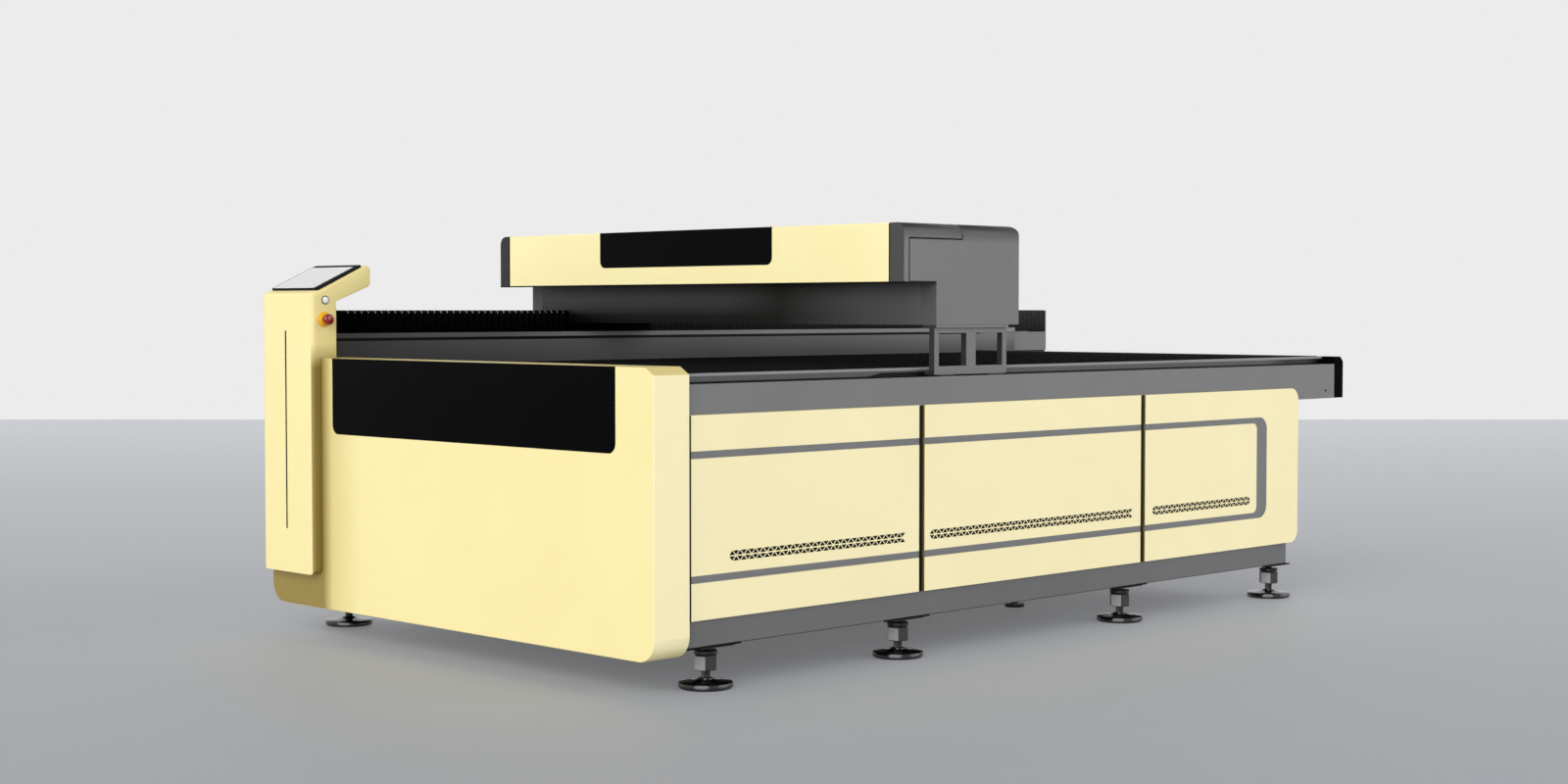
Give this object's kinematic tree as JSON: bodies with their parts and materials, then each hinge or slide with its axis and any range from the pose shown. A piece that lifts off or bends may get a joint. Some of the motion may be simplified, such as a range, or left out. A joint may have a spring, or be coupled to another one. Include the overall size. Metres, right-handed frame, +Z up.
{
  "type": "flatbed laser cutting machine",
  "caption": "Long flatbed laser cutter: slatted bed in a panelled base, bridge gantry with a hinged lid on side beams, pleated guide covers, control column and levelling feet.",
  "frame": {"origin": "on the floor, at the middle of the machine's length and width", "axes": "+X to the right seen from the front cover, +Y rearward along the bed, +Z up"},
  "size_m": [2.0096, 3.946, 1.3305],
  "materials": {
    "cream_paint": "satin powder coat",
    "gray_paint": "satin powder coat",
    "dark_paint": "satin powder coat",
    "black_paint": "matt powder coat",
    "dark_moulding": "fine textured moulding",
    "black_window": "polished tinted acrylic",
    "bellows_cloth": "matt coated cloth",
    "foot_steel": "blackened steel",
    "ground_steel": "ground",
    "slat_steel": "scorched",
    "alloy": "machined",
    "tube_glass": "clear",
    "nozzle_brass": "turned",
    "belt_rubber": "matt",
    "screen_glass": "glossy panel",
    "collar_yellow": "satin",
    "button_red": "glossy",
    "button_chrome": "polished"
  },
  "bodies": {
    "bed": {"welded_frame": "gray_paint", "front_bulkhead": "dark_paint", "front_cover": "cream_paint", "front_window": "black_window", "right_beam": "gray_paint", "left_beam": "gray_paint", "rear_crossbar": "gray_paint", "beam_end_cap": "dark_moulding", "right_panel_front": "cream_paint", "right_panel_middle": "cream_paint", "right_panel_rear": "cream_paint", "left_panels": "cream_paint", "panel_stripes": "gray_paint", "rear_panel": "gray_paint", "exhaust_spigot": "dark_paint", "table_tray": "slat_steel", "table_slats": "slat_steel", "foot_plates": "foot_steel", "middle_pads": "foot_steel", "console": "cream_paint", "touch_screen": "screen_glass", "estop_collar": "collar_yellow", "guide_rails": "ground_steel", "drive_box": "gray_paint", "screw_bearings": "dark_paint", "drive_motor": "black_paint", "drive_belt": "belt_rubber", "front_bellows": "bellows_cloth", "rear_bellows": "bellows_cloth"},
    "gantry": {"guide_carriages": "ground_steel", "right_leg": "gray_paint", "left_riser": "dark_paint", "crossbeam": "dark_paint", "side_covers": "gray_paint", "rear_cover": "gray_paint", "laser_tube": "tube_glass", "tube_clamps": "alloy", "mirror_mounts": "alloy", "cross_rail": "ground_steel", "cross_motor": "black_paint", "cross_belt": "belt_rubber"},
    "lid": {"lid_shell": "cream_paint", "lid_window": "black_window", "lid_end_caps": "gray_paint"},
    "screw": {"ball_screw": "ground_steel"},
    "motor_wheel": {"motor_pulley": "alloy"},
    "cross_wheel": {"cross_drive_pulley": "alloy"},
    "idler": {"cross_idler": "alloy"},
    "head": {"head_carriage": "alloy"},
    "lens": {"lens_tube": "nozzle_brass"},
    "stop_button": {"estop_button": "button_red"},
    "start_button": {"power_button": "button_chrome"},
    "foot_right_1_body": {"foot_right_1": "foot_steel"},
    "foot_right_2_body": {"foot_right_2": "foot_steel"},
    "foot_right_3_body": {"foot_right_3": "foot_steel"},
    "foot_right_4_body": {"foot_right_4": "foot_steel"},
    "foot_left_1_body": {"foot_left_1": "foot_steel"},
    "foot_left_2_body": {"foot_left_2": "foot_steel"},
    "foot_left_3_body": {"foot_left_3": "foot_steel"},
    "foot_left_4_body": {"foot_left_4": "foot_steel"}
  },
  "joints": [
    {"name": "gantry_slide", "type": "slide", "parent": "bed", "child": "gantry", "axis": [0, 1, 0], "range_m": [-0.75, 1.75], "deforming": ["front_bellows", "rear_bellows"]},
    {"name": "lid_hinge", "type": "hinge", "parent": "gantry", "child": "lid", "pos_m": [-0.01675, -0.65425, 1.326], "axis": [-1, 0, 0], "range_deg": [0, 75]},
    {"name": "screw_spin", "type": "hinge", "parent": "bed", "child": "screw", "pos_m": [-0.82275, 0.061, 0.99], "axis": [0, 1, 0], "continuous": true},
    {"name": "motor_spin", "type": "hinge", "parent": "bed", "child": "motor_wheel", "pos_m": [-0.82275, 1.932, 0.918], "axis": [0, 1, 0], "continuous": true},
    {"name": "head_slide", "type": "slide", "parent": "gantry", "child": "head", "axis": [1, 0, 0], "range_m": [-1.46, 0]},
    {"name": "cross_motor_spin", "type": "hinge", "parent": "gantry", "child": "cross_wheel", "pos_m": [-0.87675, -0.5455, 1.09], "axis": [0, 1, 0], "continuous": true},
    {"name": "idler_spin", "type": "hinge", "parent": "gantry", "child": "idler", "pos_m": [0.88825, -0.5455, 1.09], "axis": [0, 1, 0], "continuous": true},
    {"name": "focus_slide", "type": "slide", "parent": "head", "child": "lens", "axis": [0, 0, 1], "range_m": [-0.01, 0.01]},
    {"name": "stop_press", "type": "slide", "parent": "bed", "child": "stop_button", "axis": [-1, 0, 0], "range_m": [0, 0.004], "stiffness_N_per_m": 3000, "springref_m": -0.004},
    {"name": "start_press", "type": "slide", "parent": "bed", "child": "start_button", "axis": [-1, 0, 0], "range_m": [0, 0.0025], "stiffness_N_per_m": 1500, "springref_m": -0.0025},
    {"name": "foot_right_1_height", "type": "slide", "parent": "bed", "child": "foot_right_1_body", "axis": [0, 0, 1], "range_m": [-0.03, 0]},
    {"name": "foot_right_2_height", "type": "slide", "parent": "bed", "child": "foot_right_2_body", "axis": [0, 0, 1], "range_m": [-0.03, 0]},
    {"name": "foot_right_3_height", "type": "slide", "parent": "bed", "child": "foot_right_3_body", "axis": [0, 0, 1], "range_m": [-0.03, 0]},
    {"name": "foot_right_4_height", "type": "slide", "parent": "bed", "child": "foot_right_4_body", "axis": [0, 0, 1], "range_m": [-0.03, 0]},
    {"name": "foot_left_1_height", "type": "slide", "parent": "bed", "child": "foot_left_1_body", "axis": [0, 0, 1], "range_m": [-0.03, 0]},
    {"name": "foot_left_2_height", "type": "slide", "parent": "bed", "child": "foot_left_2_body", "axis": [0, 0, 1], "range_m": [-0.03, 0]},
    {"name": "foot_left_3_height", "type": "slide", "parent": "bed", "child": "foot_left_3_body", "axis": [0, 0, 1], "range_m": [-0.03, 0]},
    {"name": "foot_left_4_height", "type": "slide", "parent": "bed", "child": "foot_left_4_body", "axis": [0, 0, 1], "range_m": [-0.03, 0]}
  ],
  "couplings": [
    {"joint": "screw_spin", "follows": "gantry_slide", "rad_per_m": -157.08},
    {"joint": "motor_spin", "follows": "gantry_slide", "rad_per_m": -157.08},
    {"joint": "cross_motor_spin", "follows": "head_slide", "rad_per_m": 61.35},
    {"joint": "idler_spin", "follows": "head_slide", "rad_per_m": 61.35}
  ]
}
